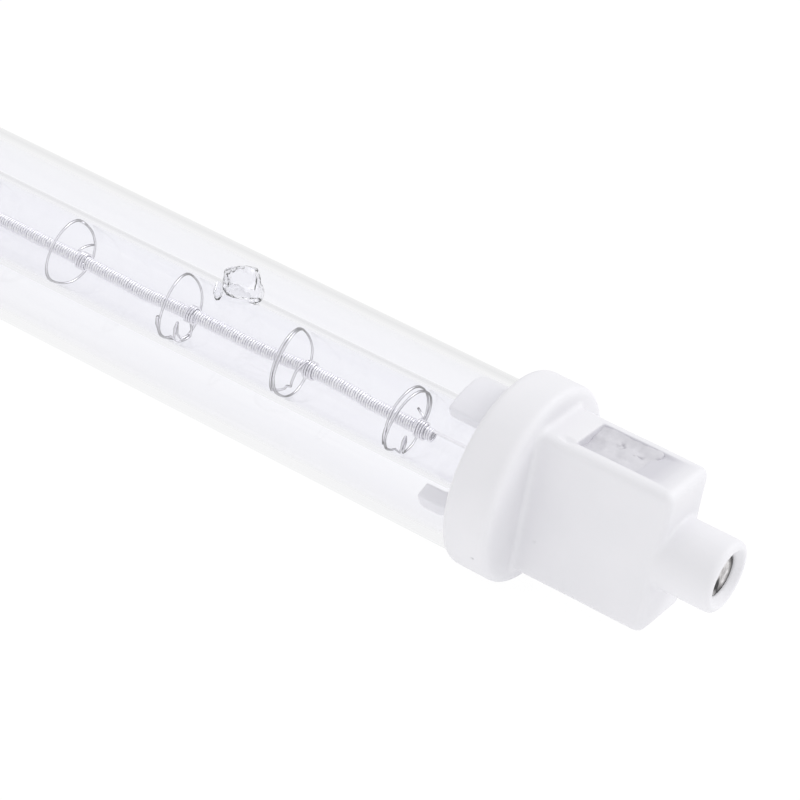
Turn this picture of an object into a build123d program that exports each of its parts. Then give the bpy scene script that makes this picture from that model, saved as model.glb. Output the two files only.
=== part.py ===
from build123d import *
import os
from math import atan2, cos, degrees, radians, sin, sqrt

# Jacketed infrared heat lamp with a recessed contact in each ceramic end.
# X runs along the lamp, Z points to the side of the cap pockets, and the origin is the middle of the lamp.
# Lengths are in millimetres and angles in degrees.

# Whole lamp, from nose to nose
overall_length = 228.0

# Outer jacket, an open quartz tube that hangs on the upper lugs of the caps
jacket_diameter = 17.0
jacket_wall = 1.0
jacket_end_gap = 0.1
jacket_play = 0.85
jacket_touch_gap = 0.05

# Inner lamp tube with its domed ends and flat pinch seals
tube_diameter = 8.2
tube_wall = 0.6
tube_setback = 1.5
pinch_thickness = 2.6
pinch_width = 9.4
pinch_length = 10.5
pinch_shoulder = 2.0
pinch_round = 0.6

# Exhaust tip on the side of the lamp tube
tip_setback = 31.4
tip_lean = 20.0
tip_base_radius = 2.1
tip_neck_height = 0.4
tip_neck_radius = 1.75
tip_height = 1.8

# Coiled filament, drawn as the sleeve that its turns fill
coil_diameter = 1.4
coil_wire = 0.3
coil_setback = 6.7

# Support wires
support_count = 13
support_setback = 3.7
support_wire = 0.26
support_hub_gap = 0.03
support_ring_gap = 0.1
support_reach = 1.7
support_bend_diameter = 0.3
support_hub_wrap = 310.0
support_ring_wrap = 330.0
support_turns = (169.0, 115.0, 173.0, 270.0)

# Current path through the pinch
inner_lead_diameter = 0.3
inner_lead_overlap = 2.0
foil_setback = 1.5
foil_length = 5.0
foil_width = 2.4
foil_thickness = 0.1
outer_lead_diameter = 1.0
seal_gap = 0.02

# Ceramic cap: collar, flat block and round nose
collar_diameter = 19.6
collar_thickness = 4.9
collar_rear_round = 0.8
collar_front_round = 0.9
block_height = 15.0
block_thickness = 7.3
block_length = 13.9
block_round = 0.9
block_root_round = 0.6
nose_diameter = 7.1
nose_length = 5.5
nose_round = 0.6
nose_root_length = 0.5
nose_root_step = 0.08

# Hollows of the cap
cap_bore_gap = 0.3
cap_bore_depth = 3.2
slot_wall = 1.4
slot_end_gap = 0.4
slot_lead_room = 1.3
lead_bore_gap = 0.1
pocket_setback = 3.25
pocket_length = 8.7
pocket_ramp_run = 3.0
pocket_ramp_drop = 0.5

# Lugs that reach into the jacket
lug_length = 4.4
lug_step = 0.7
wide_lug_half_angle = 34.0
small_lug_half_angle = 10.0
small_lug_place = 122.0

# Cement and contact
cement_depth = 0.55
cement_fit = 0.02
contact_diameter = 3.9
contact_thickness = 0.9
contact_round = 0.2
contact_sink = 0.7
recess_gap = 0.15
recess_mouth = 0.6

# A cut runs this far past the face that it opens
cut_past = 1.0

cap_length = collar_thickness + block_length + nose_length
collar_rear = overall_length / 2 - cap_length
jacket_bore = jacket_diameter - 2 * jacket_wall
lug_radius = jacket_bore / 2 - jacket_play
jacket_drop = jacket_play - jacket_touch_gap
tube_bore = tube_diameter - 2 * tube_wall
coil_bore = coil_diameter - 2 * coil_wire
coil_end = collar_rear - coil_setback

# Places along the cap, measured outwards from the rear face of its collar
block_end = collar_thickness + block_length
pinch_start = tube_diameter / 2 - tube_setback
pinch_end = pinch_start + pinch_length
foil_start = pinch_start + foil_setback
foil_end = foil_start + foil_length
slot_end = pinch_end + slot_lead_room
contact_face = cap_length - contact_sink
contact_back = contact_face - contact_thickness
pocket_start = collar_thickness + pocket_setback
pocket_end = pocket_start + pocket_length
slot_width = block_thickness - 2 * slot_wall
slot_height = pinch_width + 2 * slot_end_gap
cap_bore_radius = tube_diameter / 2 + cap_bore_gap


def rod(radius, start, end):
    return extrude(Plane.YZ.offset(start) * Circle(radius), amount=end - start)


def bar(thickness, height, start, end):
    return extrude(Plane.YZ.offset(start) * Rectangle(thickness, height), amount=end - start)


def plate(outline, thickness):
    # A flat outline of (x, z) points, drawn out evenly to both sides in Y
    face = make_face(Polyline(*[(x, 0, z) for x, z in outline], close=True))
    return extrude(face, amount=thickness / 2, both=True)


def taper(start_radius, end_radius, start, end):
    cone = Cone(start_radius, end_radius, end - start, align=(Align.CENTER, Align.CENTER, Align.MIN))
    return Pos(start, 0, 0) * Rot(0, 90, 0) * cone


def rounded_rod(radius, start, end, start_round, end_round):
    body = rod(radius, start, end)
    rims = body.edges().filter_by(GeomType.CIRCLE).sort_by(Axis.X)
    if start_round:
        body = fillet(rims[0], start_round)
        rims = body.edges().filter_by(GeomType.CIRCLE).sort_by(Axis.X)
    return fillet(rims[-1], end_round)


def both_ends(name, piece):
    # A piece of the cap is drawn from its collar's rear face outwards, then set at each end of the lamp
    right = Pos(collar_rear, 0, 0) * piece
    return {name + "_right": right, name + "_left": Rot(0, 0, 180) * right}


def make_outer_jacket():
    half = collar_rear - jacket_end_gap
    tube = rod(jacket_diameter / 2, -half, half) - rod(jacket_bore / 2, -half, half)
    return Pos(0, 0, -jacket_drop) * tube


def make_capsule(radius):
    # The tube's outer or inner form, closed by a dome at each end
    half = collar_rear - tube_setback
    outline = [
        Line((-half - radius, 0), (half + radius, 0)),
        CenterArc((half, 0), radius, 0, 90),
        Line((half, radius), (-half, radius)),
        CenterArc((-half, 0), radius, 90, 90),
    ]
    return revolve(make_face(outline), axis=Axis.X)


def make_pinch_blade(grow):
    section = RectangleRounded(pinch_thickness + 2 * grow, pinch_width + 2 * grow, pinch_round + grow)
    start = pinch_start - pinch_shoulder
    return extrude(Plane.YZ.offset(start) * section, amount=pinch_end + grow - start)


def make_exhaust_tip():
    # A nib of fused glass: a cone-shaped foot in the tube's wall, then a rounded crown
    base = tube_diameter / 2 - tube_wall / 2
    neck = tube_diameter / 2 + tip_neck_height
    top = tube_diameter / 2 + tip_height
    crown_height = top - neck
    crown_radius = (tip_neck_radius**2 + crown_height**2) / (2 * crown_height)
    crown_start = degrees(atan2(crown_radius - crown_height, tip_neck_radius))
    outline = [
        Line((0, base), (tip_base_radius, base)),
        Line((tip_base_radius, base), (tip_neck_radius, neck)),
        CenterArc((0, top - crown_radius), crown_radius, crown_start, 90 - crown_start),
        Line((0, top), (0, base)),
    ]
    nib = revolve(Plane.XZ * make_face(outline), axis=Axis.Z)
    return Pos(collar_rear - tip_setback, 0, 0) * Rot(-tip_lean, 0, 0) * nib


def make_foil(grow):
    return bar(foil_thickness + 2 * grow, foil_width + 2 * grow, foil_start - grow, foil_end + grow)


def make_inner_lead(grow):
    # From inside the coil's end turns to the edge of the foil
    return rod(inner_lead_diameter / 2 + grow, -coil_setback - inner_lead_overlap, foil_start)


def make_outer_lead(grow):
    return rod(outer_lead_diameter / 2 + grow, foil_end, contact_back)


def make_inner_envelope():
    blades = both_ends("blade", make_pinch_blade(0))
    seals = both_ends("seal", make_foil(seal_gap) + make_inner_lead(seal_gap) + make_outer_lead(seal_gap))
    glass = make_capsule(tube_diameter / 2) + make_exhaust_tip()
    glass += blades["blade_right"] + blades["blade_left"]
    glass -= make_capsule(tube_bore / 2)
    return glass - seals["seal_right"] - seals["seal_left"]


def make_filament():
    return rod(coil_diameter / 2, -coil_end, coil_end) - rod(coil_bore / 2, -coil_end, coil_end)


def make_wire_arc(radius, start, wrap):
    # Wire bent round the lamp's axis from a start angle, which turns from +Z towards -Y
    section = Plane.XZ * Pos(0, radius, 0) * Circle(support_wire / 2)
    return Rot(start, 0, 0) * revolve(section, axis=Axis.X, revolution_arc=wrap)


def make_support():
    # One wire: wound round the coil, out along a slanting leg and on along the tube's wall
    hub = coil_diameter / 2 + support_hub_gap + support_wire / 2
    ring = tube_bore / 2 - support_ring_gap - support_wire / 2
    leg_foot = Vector(support_reach, hub, 0)
    leg_top = Vector(0, hub, sqrt(ring**2 - hub**2))
    leg = leg_top - leg_foot
    wire = extrude(Plane(origin=leg_foot, z_dir=leg) * Circle(support_wire / 2), amount=leg.length)
    wire += Pos(support_reach, 0, 0) * make_wire_arc(hub, -90 - support_hub_wrap, support_hub_wrap)
    wire += make_wire_arc(ring, -degrees(atan2(hub, leg_top.Z)), support_ring_wrap)
    for bend in (leg_foot, leg_top):
        wire += Pos(bend) * Sphere(support_bend_diameter / 2)
    return wire


def make_supports():
    wire = make_support()
    first = coil_end - support_setback
    spacing = 2 * first / (support_count - 1)
    supports = {}
    for place in range(support_count):
        turn = support_turns[place % len(support_turns)]
        supports[f"support_{place + 1:02d}"] = Pos(first - place * spacing, 0, 0) * Rot(turn, 0, 0) * wire
    return supports


def make_lug(centre, half_angle):
    # A short arc of ceramic, its centre turned from +Z towards -Y
    far = lug_radius / cos(radians(half_angle))
    wedge = Polygon(
        (0, 0),
        (far * sin(radians(half_angle)), far * cos(radians(half_angle))),
        (-far * sin(radians(half_angle)), far * cos(radians(half_angle))),
        align=None,
    )
    band = Circle(lug_radius) - Circle(cap_bore_radius + lug_step)
    sector = Rot(0, 0, centre) * wedge & band
    return extrude(Plane.YZ.offset(-lug_length) * sector, amount=lug_length + collar_thickness / 2)


def make_pocket():
    # The opening on the block's narrow side, with a ramp at its outer end
    top = block_height / 2
    foot = pocket_end - pocket_ramp_run
    return plate(
        [
            (pocket_start, 0),
            (pocket_start, top + cut_past),
            (pocket_end, top + cut_past),
            (pocket_end, top),
            (foot, top - pocket_ramp_drop),
            (foot, 0),
        ],
        slot_width,
    )


def make_nose():
    # A round nose that widens a little at its root, where it leaves the rounded end of the block
    radius = nose_diameter / 2
    root_end = block_end + nose_root_length
    root = taper(radius + nose_root_step, radius, block_end - block_round, root_end)
    return root + rounded_rod(radius, root_end, cap_length, 0, nose_round)


def make_cap():
    block = extrude(
        Plane.YZ * RectangleRounded(block_thickness, block_height, block_round), amount=block_end
    )
    block = fillet(block.faces().sort_by(Axis.X)[-1].edges(), block_round)
    collar = rounded_rod(collar_diameter / 2, 0, collar_thickness, collar_rear_round, collar_front_round)
    cap = collar + block
    front = cap.edges().filter_by_position(Axis.X, collar_thickness, collar_thickness)
    root = front.filter_by(lambda edge: edge.bounding_box().size.Z < block_height)
    cap = fillet(root, block_root_round)
    cap += make_nose()
    cap += make_lug(0, wide_lug_half_angle)
    cap += make_lug(small_lug_place, small_lug_half_angle)
    cap += make_lug(-small_lug_place, small_lug_half_angle)
    cap -= rod(cap_bore_radius, -lug_length - cut_past, cap_bore_depth)
    cap -= bar(slot_width, slot_height, -lug_length - cut_past, slot_end)
    cap -= make_pocket()
    cap -= rod(outer_lead_diameter / 2 + lead_bore_gap, 0, cap_length)
    recess = contact_diameter / 2 + recess_gap
    cap -= rod(recess, contact_back, cap_length + cut_past)
    return cap - taper(recess, recess + recess_mouth, contact_face, cap_length)


def make_cement():
    # Fills the slot behind the tube's dome and the pocket up to a level below the block's narrow side
    level = block_height / 2 - cement_depth
    fill = bar(slot_width, slot_height, cap_bore_depth, slot_end)
    under_level = bar(slot_width, level, pocket_start, pocket_end)
    fill += make_pocket() & Pos(0, 0, level / 2) * under_level
    return fill - make_pinch_blade(cement_fit) - make_outer_lead(cement_fit)


def make_contact():
    return rounded_rod(contact_diameter / 2, contact_back, contact_face, 0, contact_round)


pieces = {
    "outer_jacket": make_outer_jacket(),
    "inner_envelope": make_inner_envelope(),
    "filament": make_filament(),
    **make_supports(),
    **both_ends("ceramic_cap", make_cap()),
    **both_ends("cement", make_cement()),
    **both_ends("contact", make_contact()),
    **both_ends("outer_lead", make_outer_lead(0)),
    **both_ends("foil", make_foil(0)),
    **both_ends("inner_lead", make_inner_lead(0)),
}

os.makedirs("parts", exist_ok=True)
for name, piece in pieces.items():
    export_step(piece, f"parts/{name}.step")
print(len(pieces), "pieces written")
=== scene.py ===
import bpy
import math
from mathutils import Matrix, Vector, noise


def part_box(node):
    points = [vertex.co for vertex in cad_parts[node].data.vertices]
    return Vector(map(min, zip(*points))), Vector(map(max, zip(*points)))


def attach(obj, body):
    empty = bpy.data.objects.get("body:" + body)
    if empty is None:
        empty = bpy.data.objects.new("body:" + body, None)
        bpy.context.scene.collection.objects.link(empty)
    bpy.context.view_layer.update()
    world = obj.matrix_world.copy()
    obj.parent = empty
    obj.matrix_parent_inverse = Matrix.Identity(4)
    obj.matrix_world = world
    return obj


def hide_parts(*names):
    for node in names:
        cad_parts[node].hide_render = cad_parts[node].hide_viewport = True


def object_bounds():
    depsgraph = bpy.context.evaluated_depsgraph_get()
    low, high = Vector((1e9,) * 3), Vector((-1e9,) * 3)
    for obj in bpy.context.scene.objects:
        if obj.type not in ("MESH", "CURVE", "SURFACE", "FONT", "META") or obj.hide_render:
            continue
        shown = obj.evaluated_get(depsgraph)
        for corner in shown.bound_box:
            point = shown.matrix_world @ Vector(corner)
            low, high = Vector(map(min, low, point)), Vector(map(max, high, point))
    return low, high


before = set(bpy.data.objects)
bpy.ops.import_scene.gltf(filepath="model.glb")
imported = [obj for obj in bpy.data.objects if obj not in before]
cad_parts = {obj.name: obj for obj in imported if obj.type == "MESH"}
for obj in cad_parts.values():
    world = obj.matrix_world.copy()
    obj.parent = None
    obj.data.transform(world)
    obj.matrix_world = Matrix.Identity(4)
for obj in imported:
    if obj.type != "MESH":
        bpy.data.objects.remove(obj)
cadLow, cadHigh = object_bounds()
print("frame loaded:", len(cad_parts), "nodes")

mm = 0.001  # sizes below are in millimetres, Blender works in metres
weldReach = 0.0005  # points this close to each other are one


# small helpers

def hexColour(code):
    # sRGB hex to the linear colour that a shader socket takes
    channels = [int(code[i:i + 2], 16) / 255 for i in (0, 2, 4)]
    linear = [c / 12.92 if c <= 0.04045 else ((c + 0.055) / 1.055) ** 2.4 for c in channels]
    return (*linear, 1.0)


def addNode(tree, kind, settings=None, links=None):
    # settings are input sockets by name or number, or the node's own options
    node = tree.nodes.new(kind)
    for key, value in (settings or {}).items():
        if isinstance(key, int) or key in node.inputs:
            node.inputs[key].default_value = value
        else:
            setattr(node, key, value)
    for key, socket in (links or {}).items():
        tree.links.new(socket, node.inputs[key])
    return node


def newMaterial(name, settings):
    material = bpy.data.materials.new(name)
    material.use_nodes = True
    tree = material.node_tree
    shader = tree.nodes["Principled BSDF"]
    for key, value in settings.items():
        shader.inputs[key].default_value = value
    place = addNode(tree, "ShaderNodeTexCoord").outputs["Object"]
    return material, tree, shader, place


def perMetre(size):
    # texture scale for a pattern whose features are this many millimetres wide
    return 1 / (size * mm)


def freshStart():
    if bpy.context.mode != "OBJECT":
        bpy.ops.object.mode_set(mode="OBJECT")
    bpy.ops.object.select_all(action="DESELECT")


def editAll():
    bpy.ops.object.mode_set(mode="EDIT")
    bpy.ops.mesh.select_all(action="SELECT")


def pickOnly(piece):
    freshStart()
    piece.select_set(True)
    bpy.context.view_layer.objects.active = piece


def applyModifier(piece, kind, settings):
    pickOnly(piece)
    modifier = piece.modifiers.new(kind.title(), kind)
    for key, value in settings.items():
        setattr(modifier, key, value)
    bpy.ops.object.modifier_apply(modifier=modifier.name)


def weld():
    # join points that lie on each other, which leaves the active piece's mesh closed
    editAll()
    bpy.ops.mesh.remove_doubles(threshold=weldReach * mm)
    bpy.ops.object.mode_set(mode="OBJECT")


def copyOf(node, name):
    # a CAD node's mesh as a new piece, its loose triangles merged
    piece = bpy.data.objects.new(name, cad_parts[node].data.copy())
    bpy.context.scene.collection.objects.link(piece)
    pickOnly(piece)
    weld()
    return piece


def twinOf(piece, name):
    # the same piece for the lamp's other end, with its own mesh, turned half round in Z
    twin = bpy.data.objects.new(name, piece.data.copy())
    bpy.context.scene.collection.objects.link(twin)
    twin.data.transform(Matrix.Rotation(math.pi, 4, "Z"))
    return twin


def dress(piece, name, material, slotName, *nodes):
    piece.name = name
    piece.data.name = name
    piece.data.materials.clear()
    piece.data.materials.append(material)
    for face in piece.data.polygons:
        face.material_index = 0
    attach(piece, "root")
    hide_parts(*nodes)


def letLightIn(piece, mirrored):
    # clear glass throws no shadow and doesn't dim the light that falls on what it covers
    piece.visible_shadow = False
    piece.visible_diffuse = False
    piece.visible_glossy = mirrored


def paintNode(node, material):
    # a CAD node that stays gets a better finish in its own slots
    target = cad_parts[node]
    if not target.material_slots:
        target.data.materials.append(material)
    for holder in target.material_slots:
        holder.material = material


# camera, fitted to the photograph's view

camera = {
    "azimuth": 28.705,
    "elevation": 31.499,
    "roll": -10.467,
    "target": (77.803, 0.704, 1.007),
    "distance": 309.69,
    "lens": 150.29,
    "sensor": 36.0,
    "clip": (10.0, 10000.0),  # what it sees, from near to far
}


def viewDirection():
    turn = math.radians(camera["azimuth"])
    rise = math.radians(camera["elevation"])
    return Vector((math.cos(rise) * math.sin(turn), -math.cos(rise) * math.cos(turn), math.sin(rise)))


def makeCamera():
    back = viewDirection()
    right = Vector((0, 0, 1)).cross(back).normalized()
    up = back.cross(right)
    roll = math.radians(camera["roll"])
    tiltedRight = math.cos(roll) * right - math.sin(roll) * up
    tiltedUp = math.sin(roll) * right + math.cos(roll) * up
    pose = Matrix((tiltedRight, tiltedUp, back)).transposed().to_4x4()
    pose.translation = (Vector(camera["target"]) + back * camera["distance"]) * mm
    freshStart()
    bpy.ops.object.camera_add()
    cam = bpy.context.active_object
    cam.name = "photoCamera"
    cam.matrix_world = pose
    cam.data.lens = camera["lens"]
    cam.data.sensor_width = camera["sensor"]
    near, far = camera["clip"]
    cam.data.clip_start = near * mm
    cam.data.clip_end = far * mm
    bpy.context.scene.camera = cam


makeCamera()
print("camera set")


# studio: white surroundings, one soft lamp above and behind the right end, a white floor with a faint shadow

studio = {
    "ambient": (0.74, 1.08),  # what the surroundings give matt surfaces, from the horizon and from overhead
    "room": 0.84,  # how the room round the white sweep looks in glass and metal
    "roomEdge": (0.3, 0.7),  # from the room's grey to the white overhead, as heights of a direction
    # the lamp's sizes and place are in metres, its power in watts
    "lampSize": 0.5,
    "lampHeight": 0.6,
    "lampPlace": (0.5, 0.45),
    "lampPower": 2.1,
    "floorSize": 6.0,
    "floorGlow": 0.94,  # share of the floor's white that no shadow reaches
    "floorShade": 0.08,  # share that a shadow takes away
    "floorMirror": 0.07,  # how much darker it looks when mirrored
    "floorBounce": (0.56, 0.6),  # what it gives matt surfaces: glow and reflected share
}


def seenByRays(tree):
    # 1 for rays that show the background, straight, mirrored or through glass, and 0 for those that
    # light a matt surface
    path = addNode(tree, "ShaderNodeLightPath")
    first = addNode(tree, "ShaderNodeMath", {"operation": "MAXIMUM"},
                    {0: path.outputs["Is Camera Ray"], 1: path.outputs["Is Glossy Ray"]})
    both = addNode(tree, "ShaderNodeMath", {"operation": "MAXIMUM"},
                   {0: first.outputs[0], 1: path.outputs["Is Transmission Ray"]})
    shown = addNode(tree, "ShaderNodeMath", {"operation": "SUBTRACT", "use_clamp": True},
                    {0: both.outputs[0], 1: path.outputs["Diffuse Depth"]})
    return shown.outputs[0]


def makeWorld():
    world = bpy.data.worlds.new("white studio")
    bpy.context.scene.world = world
    world.use_nodes = True
    tree = world.node_tree
    seen = seenByRays(tree)
    heading = addNode(tree, "ShaderNodeTexCoord").outputs["Generated"]
    upwards = addNode(tree, "ShaderNodeSeparateXYZ", {}, {"Vector": heading})
    low, high = studio["roomEdge"]
    bright = addNode(tree, "ShaderNodeMapRange",
                     {"interpolation_type": "SMOOTHSTEP", "From Min": low, "From Max": high,
                      "To Min": studio["room"], "To Max": 1.0},
                     {"Value": upwards.outputs["Z"]})
    low, high = studio["ambient"]
    soft = addNode(tree, "ShaderNodeMapRange", {"To Min": low, "To Max": high},
                   {"Value": upwards.outputs["Z"]})
    strength = addNode(tree, "ShaderNodeMix", {},
                       {"Factor": seen, "A": soft.outputs["Result"], "B": bright.outputs["Result"]})
    background = tree.nodes["Background"]
    background.inputs["Color"].default_value = (1, 1, 1, 1)
    tree.links.new(strength.outputs["Result"], background.inputs["Strength"])


def makeLamp():
    freshStart()
    x, y = studio["lampPlace"]
    bpy.ops.object.light_add(type="AREA", location=(x, y, studio["lampHeight"]))
    lamp = bpy.context.active_object
    lamp.name = "softLamp"
    lamp.data.size = studio["lampSize"]
    lamp.data.energy = studio["lampPower"]
    aim = Vector((camera["target"][0] * mm, 0, 0)) - lamp.location
    lamp.rotation_euler = aim.to_track_quat("-Z", "Y").to_euler()


def makeFloor():
    freshStart()
    bpy.ops.mesh.primitive_plane_add(size=studio["floorSize"], location=(0, 0, cadLow.z))
    floor = bpy.context.active_object
    floor.name = "floor"
    material = bpy.data.materials.new("white paper sweep")
    material.use_nodes = True
    tree = material.node_tree
    tree.nodes.remove(tree.nodes["Principled BSDF"])
    path = addNode(tree, "ShaderNodeLightPath")
    mirrored = addNode(tree, "ShaderNodeMath", {"operation": "SUBTRACT", "use_clamp": True},
                       {0: path.outputs["Is Glossy Ray"], 1: path.outputs["Is Transmission Ray"]})
    strength = addNode(tree, "ShaderNodeMath",
                       {"operation": "MULTIPLY_ADD", 1: -studio["floorMirror"], 2: studio["floorGlow"]},
                       {0: mirrored.outputs[0]})
    glow = addNode(tree, "ShaderNodeEmission", {}, {"Strength": strength.outputs[0]})
    share = studio["floorShade"]
    shade = addNode(tree, "ShaderNodeBsdfDiffuse", {"Color": (share, share, share, 1)})
    shown = addNode(tree, "ShaderNodeAddShader", {}, {0: glow.outputs[0], 1: shade.outputs[0]})
    lift, share = studio["floorBounce"]
    lifted = addNode(tree, "ShaderNodeEmission", {"Strength": lift})
    matt = addNode(tree, "ShaderNodeBsdfDiffuse", {"Color": (share, share, share, 1)})
    bounce = addNode(tree, "ShaderNodeAddShader", {}, {0: lifted.outputs[0], 1: matt.outputs[0]})
    mix = addNode(tree, "ShaderNodeMixShader", {},
                  {0: seenByRays(tree), 1: bounce.outputs[0], 2: shown.outputs[0]})
    tree.links.new(mix.outputs[0], tree.nodes["Material Output"].inputs["Surface"])
    floor.data.materials.append(material)


makeWorld()
makeLamp()
makeFloor()
bpy.context.scene.view_settings.view_transform = "Standard"
print("studio set")


# materials

def drawnQuartz(name, clear, streak, rim, lines):
    # fused quartz drawn to a tube: clear with a faint cool cast, with painted shade at its edges where it
    # turns from view, and long soft draw lines
    material, tree, shader, place = newMaterial(name, {
        "Transmission Weight": 1.0, "IOR": 1.458, "Roughness": 0.0})
    drawLength = 70  # how long a draw line is
    along = addNode(tree, "ShaderNodeMapping",
                    {"Scale": (perMetre(drawLength), perMetre(lines), perMetre(lines))}, {"Vector": place})
    draw = addNode(tree, "ShaderNodeTexNoise", {"Scale": 1.0, "Detail": 3.0, "Roughness": 0.5},
                   {"Vector": along.outputs["Vector"]})
    share = addNode(tree, "ShaderNodeMapRange", {"From Min": 0.42, "From Max": 0.72},
                    {"Value": draw.outputs["Fac"]})
    tint = addNode(tree, "ShaderNodeMix", {"data_type": "RGBA", 6: hexColour(clear), 7: hexColour(streak)},
                   {0: share.outputs["Result"]})
    # painted shade: towards its edges, where it turns from view, the glass takes its rim colour
    turned = addNode(tree, "ShaderNodeLayerWeight", {"Blend": 0.5})
    away = addNode(tree, "ShaderNodeMapRange", {"From Min": 0.1, "From Max": 0.8},
                   {"Value": turned.outputs["Facing"]})
    edgeShadedGlass = addNode(tree, "ShaderNodeMix", {"data_type": "RGBA", 7: hexColour(rim)},
                     {0: away.outputs["Result"], 6: tint.outputs[2]})
    tree.links.new(edgeShadedGlass.outputs[2], shader.inputs["Base Color"])
    bump = addNode(tree, "ShaderNodeBump", {"Strength": 0.04, "Distance": 0.02 * mm},
                   {"Height": draw.outputs["Fac"]})
    tree.links.new(bump.outputs["Normal"], shader.inputs["Normal"])
    return material


def firedSteatite():
    # pressed and fired steatite, unglazed: dense white, matt with a soft sheen, cloudy in tone, with a few
    # dark specks and painted shade round its pocket; its grain is drawn coarser than life so that it shows
    material, tree, shader, place = newMaterial("steatite, pressed and fired, unglazed", {"IOR": 1.58})
    cloud = addNode(tree, "ShaderNodeTexNoise", {"Scale": perMetre(4.5), "Detail": 3.0}, {"Vector": place})
    body = addNode(tree, "ShaderNodeMix",
                   {"data_type": "RGBA", 6: hexColour("e5e4e8"), 7: hexColour("dfdfe3")},
                   {0: cloud.outputs["Fac"]})
    dots = addNode(tree, "ShaderNodeAttribute", {"attribute_name": "speck"})
    specked = addNode(tree, "ShaderNodeMix", {"data_type": "RGBA", 7: hexColour("66636a")},
                      {0: dots.outputs["Fac"], 6: body.outputs[2]})
    pocketShadeShare = addNode(tree, "ShaderNodeAttribute", {"attribute_name": "pocketShade"})
    # painted shade in and round the pocket
    pocketShaded = addNode(tree, "ShaderNodeMix", {"data_type": "RGBA", 7: hexColour("cbcad1")},
                     {0: pocketShadeShare.outputs["Fac"], 6: specked.outputs[2]})
    tree.links.new(pocketShaded.outputs[2], shader.inputs["Base Color"])
    grain = addNode(tree, "ShaderNodeTexNoise", {"Scale": perMetre(0.35), "Detail": 4.0}, {"Vector": place})
    matt = addNode(tree, "ShaderNodeMapRange", {"To Min": 0.42, "To Max": 0.62},
                   {"Value": grain.outputs["Fac"]})
    tree.links.new(matt.outputs["Result"], shader.inputs["Roughness"])
    bump = addNode(tree, "ShaderNodeBump", {"Strength": 0.15, "Distance": 0.05 * mm},
                   {"Height": grain.outputs["Fac"]})
    tree.links.new(bump.outputs["Normal"], shader.inputs["Normal"])
    return material


def drawnWire(name, light, dark, edge, rough):
    # drawn wire, recrystallised in use: small bright and dull grains, drawn coarse enough to show, bright
    # along its middle, with painted shade at its edges where it turns from view and stands alone
    material, tree, shader, place = newMaterial(name, {"Metallic": 1.0})
    grain = addNode(tree, "ShaderNodeTexNoise", {"Scale": perMetre(0.22), "Detail": 2.0}, {"Vector": place})
    share = addNode(tree, "ShaderNodeMapRange", {"From Min": 0.35, "From Max": 0.65},
                    {"Value": grain.outputs["Fac"]})
    tone = addNode(tree, "ShaderNodeMix", {"data_type": "RGBA", 6: hexColour(dark), 7: hexColour(light)},
                   {0: share.outputs["Result"]})
    # painted shade: the edge colour where the wire turns from view, left off where it is wound round the coil
    turned = addNode(tree, "ShaderNodeLayerWeight", {"Blend": 0.5})
    away = addNode(tree, "ShaderNodeMapRange", {"From Min": 0.2, "From Max": 0.6},
                   {"Value": turned.outputs["Facing"]})
    wound = addNode(tree, "ShaderNodeAttribute", {"attribute_name": "wound"})
    alone = addNode(tree, "ShaderNodeMath", {"operation": "SUBTRACT", "use_clamp": True},
                    {0: away.outputs["Result"], 1: wound.outputs["Fac"]})
    edgeShadedWire = addNode(tree, "ShaderNodeMix", {"data_type": "RGBA", 7: hexColour(edge)},
                      {0: alone.outputs[0], 6: tone.outputs[2]})
    tree.links.new(edgeShadedWire.outputs[2], shader.inputs["Base Color"])
    dull = addNode(tree, "ShaderNodeMapRange", {"To Min": rough[0], "To Max": rough[1]},
                   {"Value": grain.outputs["Fac"]})
    tree.links.new(dull.outputs["Result"], shader.inputs["Roughness"])
    return material


def setCement():
    # silicate cement, trowelled in and set: chalky grey-white and gritty, with painted shade in its creases
    material, tree, shader, place = newMaterial("silicate cement, set", {"IOR": 1.5, "Roughness": 0.9})
    grit = addNode(tree, "ShaderNodeTexNoise", {"Scale": perMetre(0.5), "Detail": 4.0}, {"Vector": place})
    body = addNode(tree, "ShaderNodeMix",
                   {"data_type": "RGBA", 6: hexColour("c7c6cc"), 7: hexColour("d4d3d8")},
                   {0: grit.outputs["Fac"]})
    # painted shade along the bottoms of the creases
    creaseShadeMask = addNode(tree, "ShaderNodeAttribute", {"attribute_name": "creaseShade"})
    creaseShaded = addNode(tree, "ShaderNodeMix", {"data_type": "RGBA", 7: hexColour("94919a")},
                      {0: creaseShadeMask.outputs["Fac"], 6: body.outputs[2]})
    tree.links.new(creaseShaded.outputs[2], shader.inputs["Base Color"])
    bump = addNode(tree, "ShaderNodeBump", {"Strength": 0.4, "Distance": 0.1 * mm},
                   {"Height": grit.outputs["Fac"]})
    tree.links.new(bump.outputs["Normal"], shader.inputs["Normal"])
    return material


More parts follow.
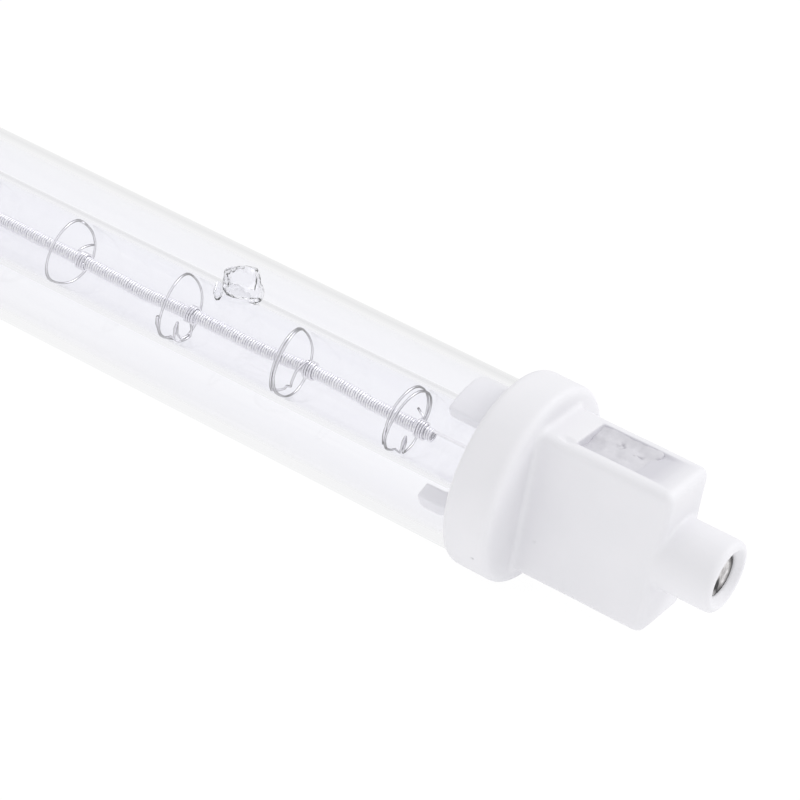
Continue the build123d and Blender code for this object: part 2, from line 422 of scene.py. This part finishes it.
def wornContact():
    # nickel-plated steel, turned and worn: grey metal, scuffed, with a dark patch and painted shade by its
    # rim
    material, tree, shader, place = newMaterial("nickel-plated steel, worn", {"Metallic": 1.0})
    scuff = addNode(tree, "ShaderNodeTexNoise", {"Scale": perMetre(0.6), "Detail": 5.0, "Roughness": 0.7},
                    {"Vector": place})
    share = addNode(tree, "ShaderNodeMapRange", {"From Min": 0.35, "From Max": 0.65},
                    {"Value": scuff.outputs["Fac"]})
    tone = addNode(tree, "ShaderNodeMix",
                   {"data_type": "RGBA", 6: hexColour("a5a2a2"), 7: hexColour("f4f2f2")},
                   {0: share.outputs["Result"]})
    # a ragged dark patch, and painted shade in the gap along one side of the rim
    darkPatchAndGapShade = addNode(tree, "ShaderNodeAttribute", {"attribute_name": "darkPatchAndGapShade"})
    patchedAndShaded = addNode(tree, "ShaderNodeMix", {"data_type": "RGBA", 7: hexColour("1c1a1b")},
                    {0: darkPatchAndGapShade.outputs["Fac"], 6: tone.outputs[2]})
    tree.links.new(patchedAndShaded.outputs[2], shader.inputs["Base Color"])
    dull = addNode(tree, "ShaderNodeMapRange", {"To Min": 0.3, "To Max": 0.6},
                   {"Value": scuff.outputs["Fac"]})
    tree.links.new(dull.outputs["Result"], shader.inputs["Roughness"])
    return material


# the last colour of each is the painted shade at its edges
jacketQuartz = drawnQuartz("fused quartz, drawn jacket tube", "fbfbfd", "f6f6f9", "f3f3f6", 2.2)
lampQuartz = drawnQuartz("fused quartz, drawn lamp tube", "fefeff", "fbfbfd", "f6f6f9", 1.2)
# each wire's third colour is the painted shade at its edges
coilTungsten = drawnWire("tungsten filament, coiled", "ffffff", "e0dfe6", "f6f5fb", (0.35, 0.55))
supportTungsten = drawnWire("tungsten support wire", "f5f4f9", "e2e1e7", "2a292f", (0.12, 0.25))
leadMolybdenum = drawnWire("molybdenum lead, drawn", "fbfafd", "efeef2", "e4e3e8", (0.1, 0.2))
steatite = firedSteatite()
cementFill = setCement()
contactSteel = wornContact()
print("materials made")


# outer jacket: an open drawn tube with fire-polished rims

jacket = {
    "sides": 192,
    "wall": 1.0,
    "rim": 0.2,  # how far its rims are rounded
    "rimSegments": 3,
    "rimAngle": 60.0,  # edges sharper than this are rounded
    "rimStrip": 0.8,  # a narrow strip at each end keeps the rounding local
}


def makeJacket():
    low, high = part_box("outer_jacket")
    strip = jacket["rimStrip"] * mm
    freshStart()
    bpy.ops.mesh.primitive_circle_add(
        vertices=jacket["sides"], radius=(high.y - low.y) / 2,
        location=(low.x, 0, (low.z + high.z) / 2), rotation=(0, math.pi / 2, 0))
    piece = bpy.context.active_object
    bpy.ops.object.transform_apply()
    editAll()
    for run in (strip, high.x - low.x - 2 * strip, strip):
        bpy.ops.mesh.extrude_region_move(TRANSFORM_OT_translate={"value": (run, 0, 0)})
    bpy.ops.mesh.select_all(action="SELECT")
    bpy.ops.mesh.normals_make_consistent(inside=False)
    bpy.ops.object.mode_set(mode="OBJECT")
    applyModifier(piece, "SOLIDIFY", {"thickness": jacket["wall"] * mm, "offset": -1.0})
    applyModifier(piece, "BEVEL", {"width": jacket["rim"] * mm, "segments": jacket["rimSegments"],
                                   "limit_method": "ANGLE", "angle_limit": math.radians(jacket["rimAngle"])})
    bpy.ops.object.shade_smooth()
    letLightIn(piece, mirrored=False)
    dress(piece, "outerJacket", jacketQuartz, "jacket_quartz", "outer_jacket")


makeJacket()
print("outer jacket made")


# lamp tube: pinched flat at both ends, with the stub of its exhaust tube, melted shut, on its side

lampTube = {
    "sides": 128,
    # half of the tube, from its middle outwards: place along the lamp, half thickness, half width
    "outer": ((61.2, 4.1, 4.1), (70.0, 4.1, 4.1), (79.0, 4.1, 4.1), (88.0, 4.1, 4.1), (88.9, 4.0, 4.12),
              (90.2, 3.3, 4.25), (91.6, 2.1, 4.55), (93.0, 1.3, 4.7), (102.3, 1.3, 4.7), (102.8, 0.85, 4.3)),
    "bore": ((61.2, 3.5, 3.5), (70.0, 3.5, 3.5), (79.0, 3.5, 3.5), (88.0, 3.5, 3.5), (89.6, 2.9, 3.3),
             (90.6, 1.5, 2.6), (91.0, 0.35, 0.9)),
    "middleRings": (-54, 54, 9),  # rings between the two halves: first place, end, step
    "closeRings": (5, 0.6),  # closer ones under the exhaust stub: how many to a side, step
    "bow": 0.25,  # how far its middle hangs below its ends
    "bowSpan": 88.0,
    "smoothAngle": 35.0,  # edges flatter than this are shaded smooth
}
tubeRadius = lampTube["outer"][0][1]
exhaust = {
    "place": 58.6,
    "lean": 20.0,
    "sides": 48,
    # height above the lamp's axis and radius, from the foot in the tube's wall to the crown
    "stub": ((2.7, 2.05), (3.6, 2.12), (4.0, 2.18), (4.25, 2.1), (4.5, 1.92), (4.9, 1.8), (5.5, 1.76),
             (5.9, 1.7), (6.15, 1.45), (6.25, 0.95), (6.26, 0.4)),
    "hollow": ((2.0, 1.65), (3.6, 1.7), (4.1, 1.72), (4.6, 1.55), (5.0, 1.5), (5.5, 1.48), (5.85, 1.4),
               (6.03, 1.15), (6.1, 0.75), (6.11, 0.35)),
    "tilt": 22.0,  # how far it leans back along the lamp
    "seam": 0.01,  # it stays this far off the tube's wall
    "cutReach": 6.0,  # the tube's form is cut from it this far to each side
    # amount and size of its lumps: outside, close grain outside, inside
    "lumps": ((0.1, 1.0), (0.03, 0.3), (0.17, 0.5)),
    # the drip of glass beside its foot: place along the lamp, angle round it, half width, half length, height
    "drip": (57.4, 11.0, 0.45, 1.35, 0.4),
    "dripTurn": 34.0,
    "dripSides": 24,
}


def loftRings(sides, rings):
    # a closed shell along X through rings of (place, half thickness in Y, half width in Z)
    place, halfY, halfZ = rings[0]
    freshStart()
    bpy.ops.mesh.primitive_circle_add(vertices=sides, radius=mm, fill_type="NGON",
                                      location=(place * mm, 0, 0), rotation=(0, math.pi / 2, 0))
    piece = bpy.context.active_object
    bpy.ops.object.transform_apply()
    editAll()
    bpy.ops.transform.resize(value=(1, halfY, halfZ), center_override=(place * mm, 0, 0))
    for nextPlace, nextY, nextZ in rings[1:]:
        bpy.ops.mesh.extrude_region_move(TRANSFORM_OT_translate={"value": ((nextPlace - place) * mm, 0, 0)})
        bpy.ops.transform.resize(value=(1, nextY / halfY, nextZ / halfZ),
                                 center_override=(nextPlace * mm, 0, 0))
        place, halfY, halfZ = nextPlace, nextY, nextZ
    bpy.ops.mesh.select_all(action="SELECT")
    bpy.ops.mesh.normals_make_consistent(inside=False)
    bpy.ops.object.mode_set(mode="OBJECT")
    return piece


def wholeTube(half):
    # both halves of the tube's rings and those between, so that the bow bends it smoothly
    mirrored = [(-place, y, z) for place, y, z in reversed(half)]
    radius = half[0][1]
    count, step = lampTube["closeRings"]
    middle = [(place, radius, radius) for place in range(*lampTube["middleRings"])]
    around = [(exhaust["place"] + ring * step, radius, radius) for ring in range(-count, count)]
    return mirrored + middle + around + list(half)


def tubeBow(place):
    return -lampTube["bow"] * max(0, 1 - (place / lampTube["bowSpan"]) ** 2)


def bowDown(piece):
    for vertex in piece.data.vertices:
        vertex.co.z += tubeBow(vertex.co.x / mm) * mm


def makeStub(rings):
    # turned about the tube's axis like the CAD nib, so it leans from +Z towards +Y
    piece = loftRings(exhaust["sides"], [(height, radius, radius) for height, radius in rings])
    stand = Matrix.Rotation(-math.pi / 2, 4, "Y")
    lean = Matrix.Rotation(-math.radians(exhaust["lean"]), 4, "X")
    foot = Matrix.Translation((0, 0, tubeRadius * mm))
    tilt = foot @ Matrix.Rotation(-math.radians(exhaust["tilt"]), 4, "Y") @ foot.inverted()
    piece.data.transform(Matrix.Translation((exhaust["place"] * mm, 0, 0)) @ lean @ tilt @ stand)
    return piece


def makeDrip():
    place, angle, along, across, outwards = exhaust["drip"]
    freshStart()
    sides = exhaust["dripSides"]
    bpy.ops.mesh.primitive_uv_sphere_add(segments=sides, ring_count=sides // 2, radius=mm)
    piece = bpy.context.active_object
    turn = Matrix.Rotation(math.radians(exhaust["dripTurn"]), 4, "Z")
    shape = turn @ Matrix.Diagonal((along, across, outwards, 1))
    seat = Matrix.Translation((place * mm, 0, tubeRadius * mm))
    piece.data.transform(Matrix.Rotation(math.radians(angle), 4, "X") @ seat @ shape)
    return piece


def lumpy(piece, amount, size):
    # push the points along their normals by slow noise, as worked by hand or warped in firing
    normals = [vertex.normal.copy() for vertex in piece.data.vertices]
    for vertex, normal in zip(piece.data.vertices, normals):
        push = noise.noise(vertex.co / (size * mm))
        vertex.co += normal * push * amount * mm


def makeLampTube():
    tube = loftRings(lampTube["sides"], wholeTube(lampTube["outer"]))
    bore = loftRings(lampTube["sides"], wholeTube(lampTube["bore"]))
    applyModifier(tube, "BOOLEAN", {"operation": "DIFFERENCE", "object": bore, "solver": "EXACT"})
    bpy.data.objects.remove(bore)
    bowDown(tube)
    pickOnly(tube)
    bpy.ops.object.shade_smooth_by_angle(angle=math.radians(lampTube["smoothAngle"]))
    letLightIn(tube, mirrored=False)
    dress(tube, "lampTube", lampQuartz, "lamp_quartz", "inner_envelope")


def makeExhaust():
    # what stands on the tube: the stub and the drip, cut along the tube's wall and hollowed
    stub = makeStub(exhaust["stub"])
    applyModifier(stub, "SUBSURF", {"levels": 1, "render_levels": 1})
    broad, close, inside = exhaust["lumps"]
    lumpy(stub, *broad)
    lumpy(stub, *close)
    hollow = makeStub(exhaust["hollow"])
    applyModifier(hollow, "SUBSURF", {"levels": 1, "render_levels": 1})
    lumpy(hollow, *inside)
    drip = makeDrip()
    wall = tubeRadius + exhaust["seam"]
    ends = [exhaust["place"] + side * exhaust["cutReach"] for side in (-1, 1)]
    under = loftRings(lampTube["sides"], [(end, wall, wall) for end in ends])
    applyModifier(stub, "BOOLEAN", {"operation": "UNION", "object": drip, "solver": "EXACT"})
    applyModifier(stub, "BOOLEAN", {"operation": "DIFFERENCE", "object": hollow, "solver": "EXACT"})
    applyModifier(stub, "BOOLEAN", {"operation": "DIFFERENCE", "object": under, "solver": "EXACT"})
    for tool in (drip, hollow, under):
        bpy.data.objects.remove(tool)
    bowDown(stub)
    pickOnly(stub)
    bpy.ops.object.shade_smooth_by_angle(angle=math.radians(lampTube["smoothAngle"]))
    letLightIn(stub, mirrored=True)
    dress(stub, "lampTube.exhaust", lampQuartz, "lamp_quartz", "inner_envelope")


makeLampTube()
makeExhaust()
print("lamp tube made")


# filament: one wire wound in close turns, hanging a little between its supports

coil = {
    "radius": 0.68,
    "wire": 0.25,
    "pitch": 0.265,
    "end": 83.0,
    "uneven": 0.06,  # turns a little closer or wider here and there
    "unevenSize": 0.45,
    "unevenSeed": 7,
    "steps": 12,  # to a turn
    "wireSides": 6,
    # how far the coil hangs below the lamp's axis at places along it
    "sag": ((-83, -0.2), (-66, -0.05), (-46, -0.35), (-26, -0.15), (-6, -0.4), (14, -0.2), (28, -0.4),
            (39.6, -0.42), (46, -0.55), (48.8, -0.67), (50.5, -0.55), (53, -0.43), (55, -0.35), (59, -0.36),
            (61.5, -0.4), (63, -0.37), (65, -0.2), (67.5, -0.02), (70, 0.02), (72, -0.02), (73.5, -0.12),
            (75.5, -0.34), (77, -0.31), (79.5, -0.36), (81, -0.38), (83, -0.5)),
}


def coilSag(place):
    stops = coil["sag"]
    for (x0, z0), (x1, z1) in zip(stops, stops[1:]):
        if place <= x1:
            share = min(1, max(0, (place - x0) / (x1 - x0)))
            return z0 + (z1 - z0) * (1 - math.cos(math.pi * share)) / 2
    return stops[-1][1]


def makeFilament():
    turnRadius = coil["radius"] - coil["wire"] / 2
    turns = int((2 * coil["end"] - coil["wire"]) / coil["pitch"])
    freshStart()
    bpy.ops.mesh.primitive_circle_add(
        vertices=coil["wireSides"], radius=coil["wire"] / 2 * mm,
        location=((coil["wire"] / 2 - coil["end"]) * mm, 0, turnRadius * mm), rotation=(math.pi / 2, 0, 0))
    piece = bpy.context.active_object
    bpy.ops.object.transform_apply()
    applyModifier(piece, "SCREW", {"axis": "X", "screw_offset": coil["pitch"] * mm, "iterations": turns,
                                   "steps": coil["steps"], "render_steps": coil["steps"]})
    editAll()
    bpy.ops.mesh.fill_holes(sides=0)
    bpy.ops.mesh.select_all(action="SELECT")
    bpy.ops.mesh.normals_make_consistent(inside=False)
    bpy.ops.object.mode_set(mode="OBJECT")
    for vertex in piece.data.vertices:
        place = vertex.co.x / mm
        shift = noise.noise(Vector((place / coil["unevenSize"], 0, coil["unevenSeed"])))
        vertex.co.x += coil["uneven"] * shift * mm
        vertex.co.z += coilSag(place) * mm
    bpy.ops.object.shade_smooth()
    dress(piece, "filamentCoil", coilTungsten, "filament_tungsten", "filament")


makeFilament()
print("filament made")


# supports: each wire is wound round the coil, led out and bent to a ring along the tube's wall

support = {
    "count": 13,
    "first": 79.3,
    "wire": 0.23,
    "ring": 3.28,
    "hub": 0.8,
    "hubPitch": 0.265,
    "sides": 2,  # Blender's bevel steps, which make an eight-sided wire
    "bendStep": 10,  # points along a bend are at most this many degrees apart
    "reachStep": 0.3,  # and this far in or out
    # how unevenly the rings are bent: by how much, from which radius, over how many degrees
    "wobble": 0.03,
    "wobbleFrom": 2.9,
    "wobbleTurn": 70,
    "wobbleSeed": 7.3,
    "drop": 0.07,  # the rings rest on the bottom of the tube
    "windOff": 0.5,  # beyond this gap from the turns on the coil the wire stands alone
}

# Each route is a list of (angle from +Z towards -Y, distance from the axis, place along the lamp from
# the ring), with a fourth number where the wire is pressed flat and so looks thicker
ringOut = support["ring"]
supportRoutes = (
    # two turns, spread at the top, a dent and a flattened hairpin at the bottom, a free end at the coil
    {"end": ((-38, 1.55, 0.7), (-36, 1.1, 1.55)), "hubFrom": -36, "hubStart": 1.6, "hubTurns": 3.75,
     "ring": ((235, 2.0, 1.6), (238, 3.15, 0.75), (290, 3.12, 0.95), (325, 3.1, 1.05), (370, 3.15, 0.75),
              (415, 3.22, 0.45), (460, ringOut, 0.15), (492, ringOut, 0.15), (502, 3.2, 0.25),
              (508, 2.95, 0.45), (516, 3.2, 0.85), (519, 2.7, 0.8), (521, 2.0, 0.75, 1.7), (522, 1.4, 0.72),
              (524, 1.4, 0.75), (525, 2.0, 0.82, 1.7), (525, 2.7, 0.92), (526, ringOut, 0.95),
              (560, ringOut, 0.85), (595, ringOut, 0.6), (640, ringOut, 0.5), (685, ringOut, 0.42),
              (730, ringOut, 0.15), (775, ringOut, -0.05), (800, ringOut, 0.0), (814, ringOut, 0.0, 1.5),
              (830, ringOut, 0.03, 1.5))},
    # a kinked leg in front of the coil, doubled wire up the near side
    {"end": (), "hubFrom": 591, "hubStart": 1.95, "hubTurns": -3.6,
     "ring": ((15, 1.1, 2.2), (60, 1.4, 1.95), (78, 1.6, 1.8), (95, 1.75, 1.75), (121, 2.25, 1.7),
              (122, 2.35, 1.3), (129, 2.6, 1.1), (126, 2.95, 0.75), (118, ringOut, 0.3), (55, ringOut, 0.16),
              (10, ringOut, 0.0), (-35, ringOut, -0.1), (-80, ringOut, 0.3), (-125, ringOut, 0.54),
              (-170, ringOut, 0.85), (-215, ringOut, 1.05), (-242, ringOut, 0.75), (-270, ringOut, 0.5),
              (-305, 3.2, 0.45), (-350, ringOut, 0.2), (-385, ringOut, 0.05))},
    # one turn with a dent and a flattened hairpin at the bottom, its end laid along the near side
    {"end": (), "hubFrom": 61, "hubStart": 1.25, "hubTurns": 3.4,
     "ring": ((205, 1.5, 1.15), (200, 2.6, 1.2), (192, ringOut, 1.25), (158, ringOut, 1.25),
              (148, 2.95, 0.55), (138, ringOut, 0.35), (110, ringOut, 0.25), (60, ringOut, 0.25),
              (10, ringOut, 0.0), (-34, ringOut, -0.1), (-80, ringOut, 0.35), (-125, ringOut, 0.65),
              (-170, ringOut, 1.0), (-186, ringOut, 0.9), (-189, 2.8, 0.5), (-192, 2.1, 0.35, 1.7),
              (-195, 1.4, 0.35), (-197, 1.4, 0.35), (-198, 2.1, 0.38, 1.7), (-199, 2.8, 0.5),
              (-203, ringOut, 0.7), (-216, ringOut, 0.45), (-240, ringOut, 0.27), (-255, ringOut, 0.18),
              (-263, ringOut, 0.05, 1.6), (-276, ringOut, 0.0, 1.6))},
    # a straight leg from the far side
    {"end": (), "hubFrom": 69, "hubStart": 1.1, "hubTurns": 3.6,
     "ring": ((285, 0.95, 0.2), (270, ringOut, 0.4), (300, ringOut, 0.2), (325, ringOut, -0.15),
              (370, ringOut, -0.25), (415, ringOut, -0.3), (460, ringOut, -0.35), (500, ringOut, -0.1),
              (540, ringOut, 0.3), (600, ringOut, 0.55), (640, 3.2, 0.45), (680, 3.2, 0.1),
              (700, 3.2, -0.1))},
)


def fullStation(station):
    return station if len(station) == 4 else (*station, 1.0)


def supportRoute(route):
    # the wire's stations in order: its free end, the turns round the coil, the leg and the ring
    start = route["hubFrom"]
    hubSides = [route["hubStart"], route["hubStart"] + abs(route["hubTurns"]) * support["hubPitch"]]
    if not route["end"]:
        hubSides.reverse()
    stations = list(route["end"])
    stations.append((start, support["hub"], hubSides[0]))
    stations.append((start + 360 * route["hubTurns"], support["hub"], hubSides[1]))
    shift = 360 * round((stations[-1][0] - route["ring"][0][0]) / 360)
    stations.extend((station[0] + shift, *station[1:]) for station in route["ring"])
    return [fullStation(station) for station in stations]


def denseStations(stations):
    # points close enough together for a smooth bend
    dense = []
    for begin, end in zip(stations, stations[1:]):
        change = [b - a for a, b in zip(begin, end)]
        steps = max(1, math.ceil(abs(change[0]) / support["bendStep"]),
                    math.ceil(abs(change[1]) / support["reachStep"]))
        dense.extend(tuple(a + c * step / steps for a, c in zip(begin, change)) for step in range(steps))
    dense.append(stations[-1])
    return dense


def makeSupport(number, place, route):
    ring, hub = support["ring"], support["hub"]
    points = []
    widths = []
    for angle, reach, along, width in denseStations(supportRoute(route)):
        turn = math.radians(angle)
        if reach > support["wobbleFrom"]:
            spot = Vector((number * support["wobbleSeed"], angle / support["wobbleTurn"], 0))
            reach += support["wobble"] * (noise.noise(spot) - 0.5)
        nearCoil = max(0, min(1, (ring - reach) / (ring - hub)))
        rest = tubeBow(place) - support["drop"]
        hang = rest + (coilSag(place + along) - rest) * nearCoil
        points.append(Vector((place + along, -reach * math.sin(turn), reach * math.cos(turn) + hang)) * mm)
        widths.append(width)
    curve = bpy.data.curves.new("supportWire", "CURVE")
    curve.dimensions = "3D"
    curve.bevel_depth = support["wire"] / 2 * mm
    curve.bevel_resolution = support["sides"]
    curve.use_fill_caps = True
    spline = curve.splines.new("POLY")
    spline.points.add(len(points) - 1)
    for point, co, width in zip(spline.points, points, widths):
        point.co = (*co, 1)
        point.radius = width
    piece = bpy.data.objects.new("supportWire", curve)
    bpy.context.scene.collection.objects.link(piece)
    pickOnly(piece)
    bpy.ops.object.convert(target="MESH")
    piece = bpy.context.active_object
    weld()
    wound = piece.data.attributes.new("wound", "FLOAT", "POINT")
    for vertex in piece.data.vertices:
        x, y, z = vertex.co / mm
        gap = math.hypot(y, z - coilSag(x)) - hub
        wound.data[vertex.index].value = max(0, min(1, (support["windOff"] - gap) / support["wire"]))
    bpy.ops.object.shade_smooth()
    dress(piece, f"support_{number:02d}.wire", supportTungsten, "support_tungsten", f"support_{number:02d}")


def makeSupports():
    spacing = 2 * support["first"] / (support["count"] - 1)
    for number in range(support["count"]):
        route = supportRoutes[number % len(supportRoutes)]
        makeSupport(number + 1, support["first"] - number * spacing, route)


makeSupports()
print("supports made")


# ceramic caps: the CAD form with the soft edges and slight unevenness of pressed and fired ware

cap = {
    "voxel": 0.17,
    "smooth": (0.5, 4),  # how strongly and how often its points are evened out
    "waver": 0.04,  # how far it warped in firing
    "waverSize": 5.0,
    # a chip in the pocket's near edge
    "nick": (97.0, -2.5, 7.5),
    "nickReach": 0.55,
    "nickStretch": 0.55,  # distance along the lamp counts this much, so it is longer that way
    "nickDepth": 0.3,
    # dark inclusions that show on the near side, the last number is how dark
    "specks": ((93.21, -8.78, -4.35, 0.6), (96.44, -3.65, -3.36, 0.15)),
    "speckReach": 0.22,
    # the recess is worn a little wider towards its mouth: from this place outwards, within this radius,
    # by how much, and how suddenly that ends
    "flare": (113.2, 2.95, 0.28, 4),
    # painted shade in the pocket and on its ramp: begin and end along the lamp, half width
    "pocketShade": (97.7, 107.8, 2.5),
    "pocketShadeFade": (0.3, 2.6, 0.15),  # how far it fades at its begin, its end and its sides
}


def makeCaps():
    piece = copyOf("ceramic_cap_right", "capRight")
    applyModifier(piece, "REMESH", {"mode": "VOXEL", "voxel_size": cap["voxel"] * mm})
    factor, times = cap["smooth"]
    applyModifier(piece, "SMOOTH", {"factor": factor, "iterations": times})
    lumpy(piece, cap["waver"], cap["waverSize"])
    nick = Vector(cap["nick"])
    flareFrom, flareWithin, flareBy, flareEnd = cap["flare"]
    noseEnd = cadHigh.x / mm
    dark = piece.data.attributes.new("speck", "FLOAT", "POINT")
    pocketShade = piece.data.attributes.new("pocketShade", "FLOAT", "POINT")
    pocketShadeBegin, pocketShadeEnd, pocketShadeWide = cap["pocketShade"]
    fadeBegin, fadeEnd, fadeWide = cap["pocketShadeFade"]
    for vertex in piece.data.vertices:
        here = vertex.co / mm
        # painted shade in the pocket and on its ramp, on the top side only
        pocketShadeShare = min((here.x - pocketShadeBegin) / fadeBegin, (pocketShadeEnd - here.x) / fadeEnd,
                    (pocketShadeWide - abs(here.y)) / fadeWide)
        if here.z > 0:
            pocketShade.data[vertex.index].value = max(0, min(1, pocketShadeShare))
        away = here - nick
        away.x *= cap["nickStretch"]
        if away.length < cap["nickReach"]:
            vertex.co.z -= (1 - away.length / cap["nickReach"]) * cap["nickDepth"] * mm
        marks = [much * (1 - (here - Vector(at)).length / cap["speckReach"]) for *at, much in cap["specks"]]
        dark.data[vertex.index].value = max(0, *marks)
        reach = math.hypot(here.y, here.z)
        if here.x > flareFrom and reach < flareWithin:
            fall = 1 - (reach / flareWithin) ** flareEnd
            push = flareBy * (here.x - flareFrom) / (noseEnd - flareFrom) * fall
            vertex.co.y += here.y / reach * push * mm
            vertex.co.z += here.z / reach * push * mm
    bpy.ops.object.shade_smooth()
    twin = twinOf(piece, "capLeft")
    dress(piece, "ceramicCapRight", steatite, "steatite", "ceramic_cap_right")
    dress(twin, "ceramicCapLeft", steatite, "steatite", "ceramic_cap_left")


makeCaps()
print("caps made")


# cement: lumps and pulled-away creases in the pocket, with painted shade along their bottoms

cement = {
    "voxel": 0.14,
    "roughFrom": 5.0,  # only what shows in the pocket is rough
    "wet": 0.12,  # how far it spreads into the walls
    # it creeps up the far wall and onto the ramp: where from, where to, rise
    "creep": (1.0, 2.4, 0.62),
    "creepEnd": (102.8, 103.55, 0.17),
    "spread": 0.8,  # how far it runs out on the ramp
    "grit": (0.06, 0.7),  # height and size of its roughness
    # centre along the lamp and across it, reach, height
    "lumps": ((98.2, -0.6, 1.6, -0.45), (99.6, 1.4, 1.0, 0.12), (101.9, 0.3, 1.1, 0.25),
              (103.0, 1.5, 0.8, 0.2), (102.2, -1.4, 0.9, 0.1)),
    # patches with small wrinkles where it pulled away: centre, reach
    "wrinkles": ((100.65, 1.03, 0.55), (102.6, 0.67, 0.5), (103.9, 1.27, 0.55), (101.3, -1.6, 0.45)),
    "wrinkleSize": 0.55,
    "wrinkleWidth": 0.2,
    "wrinkleDepth": 0.15,
    "wrinkleRamp": 2,  # how fast they deepen inwards from the rim of their patch
}


def wrinkleAt(x, y):
    # 1 along a wrinkle's bottom, 0 beside it
    deep = 0
    for centreX, centreY, reach in cement["wrinkles"]:
        inside = 1 - math.hypot(x - centreX, y - centreY) / reach
        if inside > 0:
            ripple = abs(noise.noise(Vector((x, y, centreX)) / cement["wrinkleSize"]))
            full = min(1, cement["wrinkleRamp"] * inside)
            deep = max(deep, full * (1 - ripple / cement["wrinkleWidth"]))
    return deep


def creepShare(place, begin, end):
    # 0 where the cement lies flat, rising to 1 at the end of its creep
    return max(0, min(1, (place - begin) / (end - begin))) ** 2


def makeCement():
    piece = copyOf("cement_right", "cementRight")
    applyModifier(piece, "REMESH", {"mode": "VOXEL", "voxel_size": cement["voxel"] * mm})
    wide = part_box("cement_right")[1].y
    gritHeight, gritSize = cement["grit"]
    wallBegin, wallEnd, wallRise = cement["creep"]
    rampBegin, rampEnd, rampRise = cement["creepEnd"]
    dark = piece.data.attributes.new("creaseShade", "FLOAT", "POINT")
    for vertex in piece.data.vertices:
        x, y, z = vertex.co / mm
        if z < cement["roughFrom"]:
            continue
        upRamp = creepShare(x, rampBegin, rampEnd)
        rise = gritHeight * noise.noise(Vector((x, y, z)) / gritSize)
        rise += wallRise * creepShare(y, wallBegin, wallEnd)
        rise += rampRise * upRamp
        for centreX, centreY, reach, height in cement["lumps"]:
            gap = math.hypot(x - centreX, y - centreY) / reach
            rise += height * max(0, 1 - gap * gap)
        # painted shade: the crease bottoms are marked for the darker colour
        deep = wrinkleAt(x, y)
        dark.data[vertex.index].value = deep
        vertex.co.z += (rise - cement["wrinkleDepth"] * deep) * mm
        vertex.co.y *= 1 + cement["wet"] * mm / wide
        vertex.co.x += (cement["spread"] * upRamp if upRamp > 0 else -cement["wet"]) * mm
    bpy.ops.object.shade_smooth()
    twin = twinOf(piece, "cementLeft")
    dress(piece, "cementRight", cementFill, "base_cement", "cement_right")
    dress(twin, "cementLeft", cementFill, "base_cement", "cement_left")


makeCement()
print("cement made")


# contacts: a dished disc with a rounded edge, a ragged dark patch, and painted shade along its rim on one
# side

contact = {
    "sides": 64,
    "round": 0.2,
    "edgeSteps": (0.7, 0.35, 0.3),  # the rounded edge as shares of that: rise, inset, rise
    "face": 0.94,  # share of the edge's size that is left for the face
    "dishInset": 0.45,
    "dish": 0.1,
    "rings": 5,
    "ringInset": 0.2,
    # a ragged dark patch, in shares of the radius: centre in Y and Z, reach, fade
    "darkPatch": (-0.25, -0.5, 0.55, 0.25),
    "ragged": (0.25, 2.5, 3),  # how ragged its outline is, how closely, and a seed
    # painted shade along the rim on one side, in the gap to the recess wall: its direction in Y and Z and
    # how it fades, then from which share of the radius and how that fades
    "gapShadeSide": (0.918, -0.397, 0.2),
    "gapShadeRim": (0.72, 0.12),
    "smoothAngle": 40.0,
}


def makeContacts():
    low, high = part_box("contact_right")
    radius = (high.y - low.y) / 2
    freshStart()
    bpy.ops.mesh.primitive_circle_add(vertices=contact["sides"], radius=radius, fill_type="NGON",
                                      location=(low.x, 0, 0), rotation=(0, math.pi / 2, 0))
    piece = bpy.context.active_object
    bpy.ops.object.transform_apply()
    editAll()
    edge = contact["round"] * mm
    lower, inwards, upper = contact["edgeSteps"]
    face = contact["face"]
    bpy.ops.mesh.extrude_region_move(TRANSFORM_OT_translate={"value": (high.x - low.x - edge, 0, 0)})
    bpy.ops.mesh.extrude_region_move(TRANSFORM_OT_translate={"value": (edge * lower, 0, 0)})
    bpy.ops.mesh.inset(thickness=edge * inwards)
    bpy.ops.mesh.extrude_region_move(TRANSFORM_OT_translate={"value": (edge * upper, 0, 0)})
    bpy.ops.transform.resize(value=(1, face, face), center_override=(high.x, 0, 0))
    bpy.ops.mesh.inset(thickness=contact["dishInset"] * mm)
    bpy.ops.transform.translate(value=(-contact["dish"] * mm, 0, 0))
    for ring in range(contact["rings"]):
        bpy.ops.mesh.inset(thickness=contact["ringInset"] * mm)
    bpy.ops.mesh.select_all(action="SELECT")
    bpy.ops.mesh.normals_make_consistent(inside=False)
    bpy.ops.object.mode_set(mode="OBJECT")
    darkPatchAndGapShade = piece.data.attributes.new("darkPatchAndGapShade", "FLOAT", "POINT")
    patchY, patchZ, patchReach, patchFade = contact["darkPatch"]
    raggedBy, raggedGrain, raggedSeed = contact["ragged"]
    sideY, sideZ, sideFade = contact["gapShadeSide"]
    rimFrom, rimFade = contact["gapShadeRim"]
    for vertex in piece.data.vertices:
        y, z = vertex.co.y / radius, vertex.co.z / radius
        ragged = raggedBy * noise.noise(Vector((y, z, raggedSeed)) * raggedGrain)
        patch = (patchReach - math.hypot(y - patchY, z - patchZ) + ragged) / patchFade
        # painted shade: a crescent along the rim on one side, in the gap to the recess wall
        rim = min((math.hypot(y, z) - rimFrom) / rimFade, (y * sideY + z * sideZ) / sideFade)
        darkPatchAndGapShade.data[vertex.index].value = min(1, max(0, patch, rim))
    bpy.ops.object.shade_smooth_by_angle(angle=math.radians(contact["smoothAngle"]))
    twin = twinOf(piece, "contactLeft")
    dress(piece, "contactRight", contactSteel, "contact_steel", "contact_right")
    dress(twin, "contactLeft", contactSteel, "contact_steel", "contact_left")


makeContacts()
for part in ("inner_lead", "foil", "outer_lead"):
    for side in ("right", "left"):
        paintNode(f"{part}_{side}", leadMolybdenum)
print("contacts and leads made")
